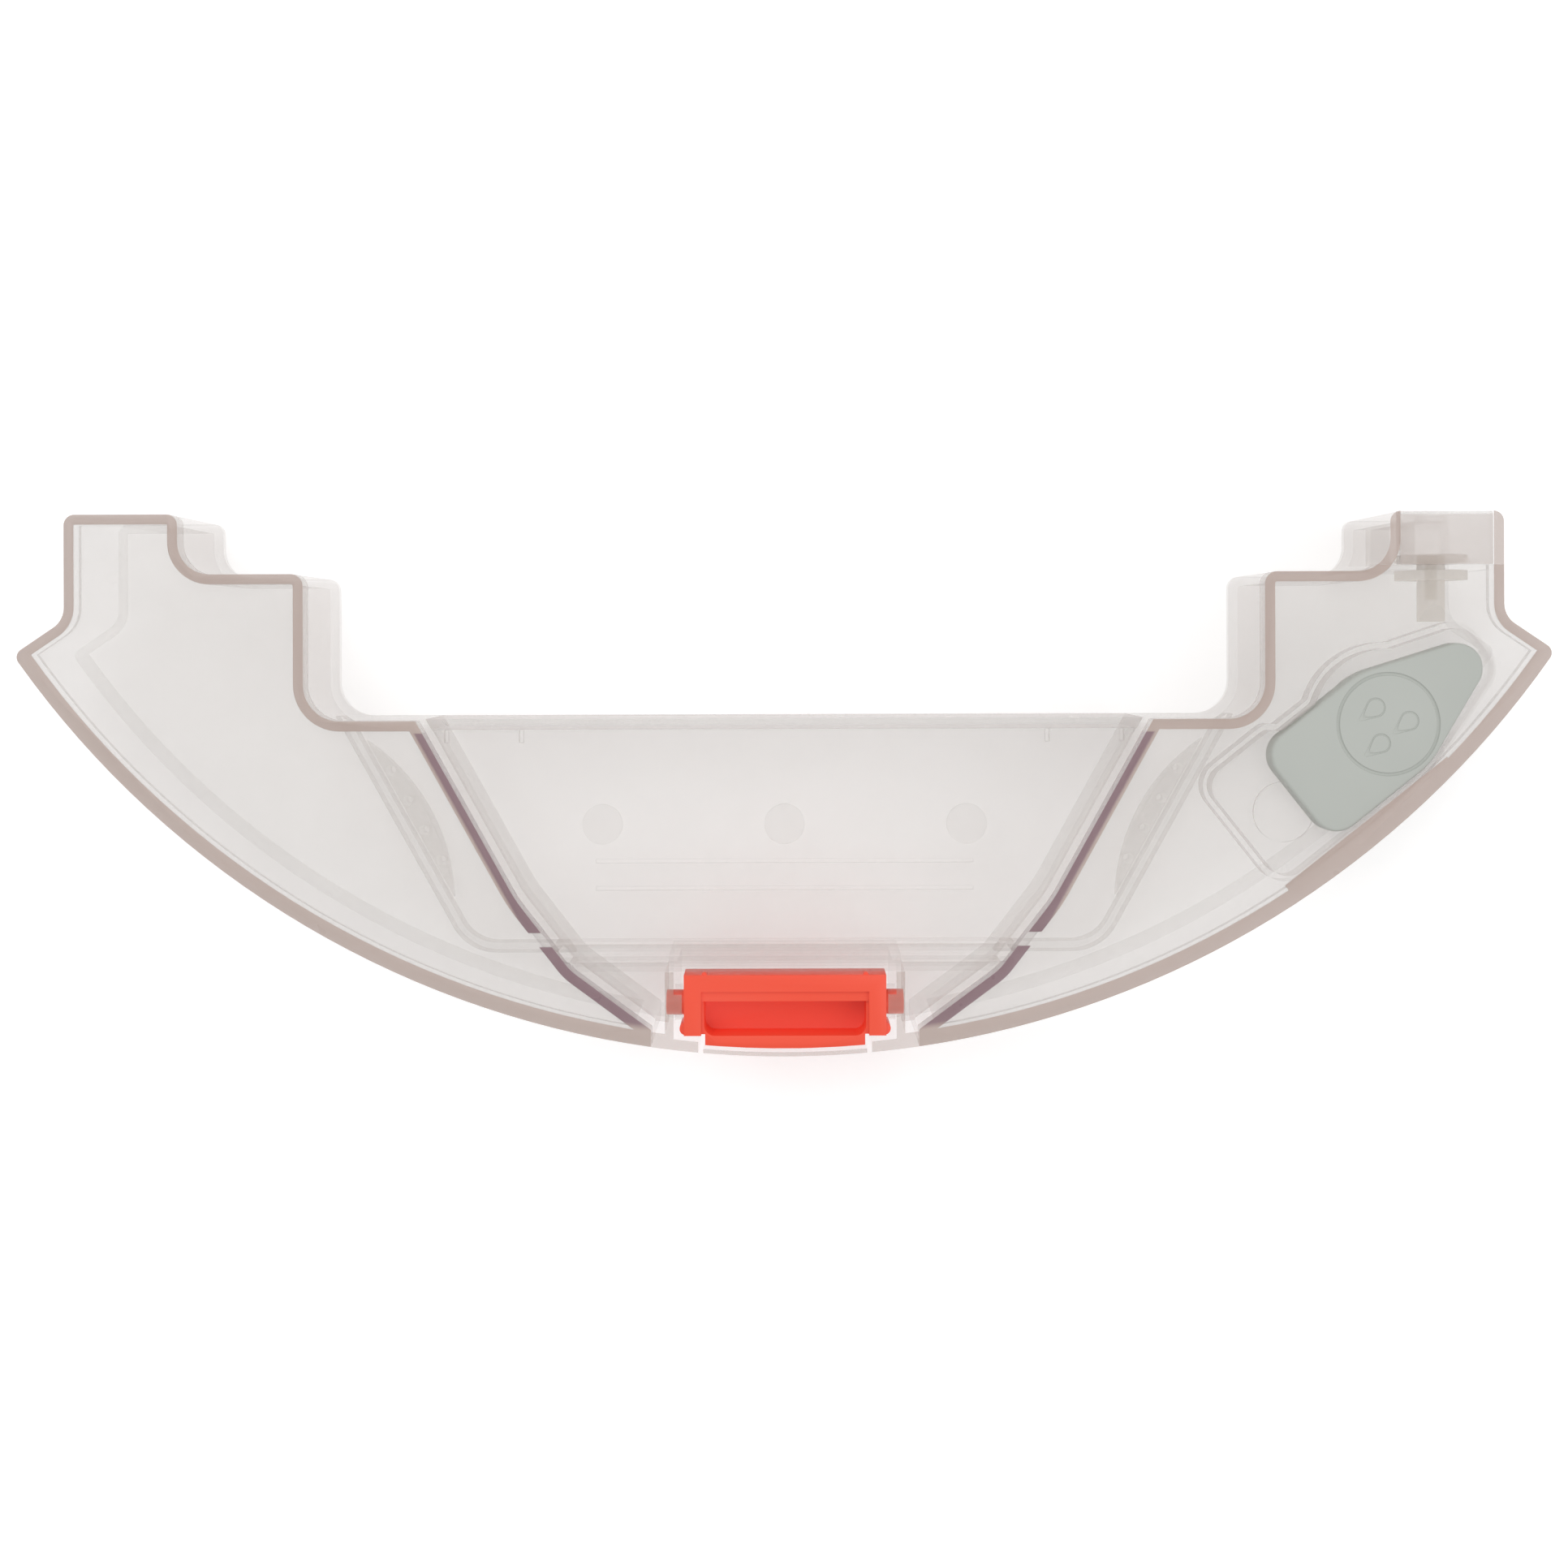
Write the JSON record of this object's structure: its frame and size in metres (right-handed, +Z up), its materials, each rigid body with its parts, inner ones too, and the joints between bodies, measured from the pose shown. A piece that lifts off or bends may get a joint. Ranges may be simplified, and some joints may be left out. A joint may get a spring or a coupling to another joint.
{
  "type": "robot vacuum water tank",
  "caption": "Crescent water tank with two covered lobes, a sunken middle, a hinged filler flap and a sprung finger latch at the rear.",
  "frame": {"origin": "middle of the bounding box in X and Y, on the plane of the flat base", "axes": "+X to the right seen from above, +Y to the front of the robot, away from the rear arc, +Z up through the covers"},
  "size_m": [0.2862, 0.1014, 0.027],
  "materials": {
    "tank_plastic": "translucent, light satin",
    "cover_plastic": "translucent, light satin",
    "deck_plastic": "translucent, light satin",
    "filter_pad": "matte",
    "frame_plastic": "matte",
    "flap_rubber": "matte",
    "valve_rubber": "matte",
    "retainer_plastic": "matte",
    "latch_plastic": "satin",
    "spring_steel": "bright"
  },
  "bodies": {
    "tank": {"base_plate": "tank_plastic", "left_base": "tank_plastic", "right_base": "tank_plastic", "left_dam": "tank_plastic", "right_dam": "tank_plastic", "left_shell": "tank_plastic", "right_shell": "tank_plastic", "right_column": "tank_plastic", "front_wall": "tank_plastic", "latch_bay": "tank_plastic", "latch_skin": "tank_plastic", "left_cover": "cover_plastic", "right_cover": "cover_plastic", "centre_deck": "deck_plastic", "left_outlet_pad": "filter_pad", "right_outlet_pad": "filter_pad", "left_outlet_frame": "frame_plastic", "right_outlet_frame": "frame_plastic", "flap_anchor": "flap_rubber", "vent_cap": "cover_plastic", "air_valve": "valve_rubber", "valve_retainer": "retainer_plastic", "left_latch_spring": "spring_steel", "right_latch_spring": "spring_steel"},
    "flap": {"filler_flap": "flap_rubber"},
    "latch": {"latch_lever": "latch_plastic"}
  },
  "joints": [
    {"name": "flap_hinge", "type": "hinge", "parent": "tank", "child": "flap", "pos_m": [0.12622, 0.02143, 0.0264], "axis": [-0.6198, 0.7848, 0], "range_deg": [0, 110]},
    {"name": "latch_pivot", "type": "hinge", "parent": "tank", "child": "latch", "pos_m": [0, -0.0411, 0.0241], "axis": [1, 0, 0], "range_deg": [0, 8], "stiffness_Nm_per_rad": 0.4, "springref_deg": -5.73, "deforming": ["left_latch_spring", "right_latch_spring"]}
  ]
}
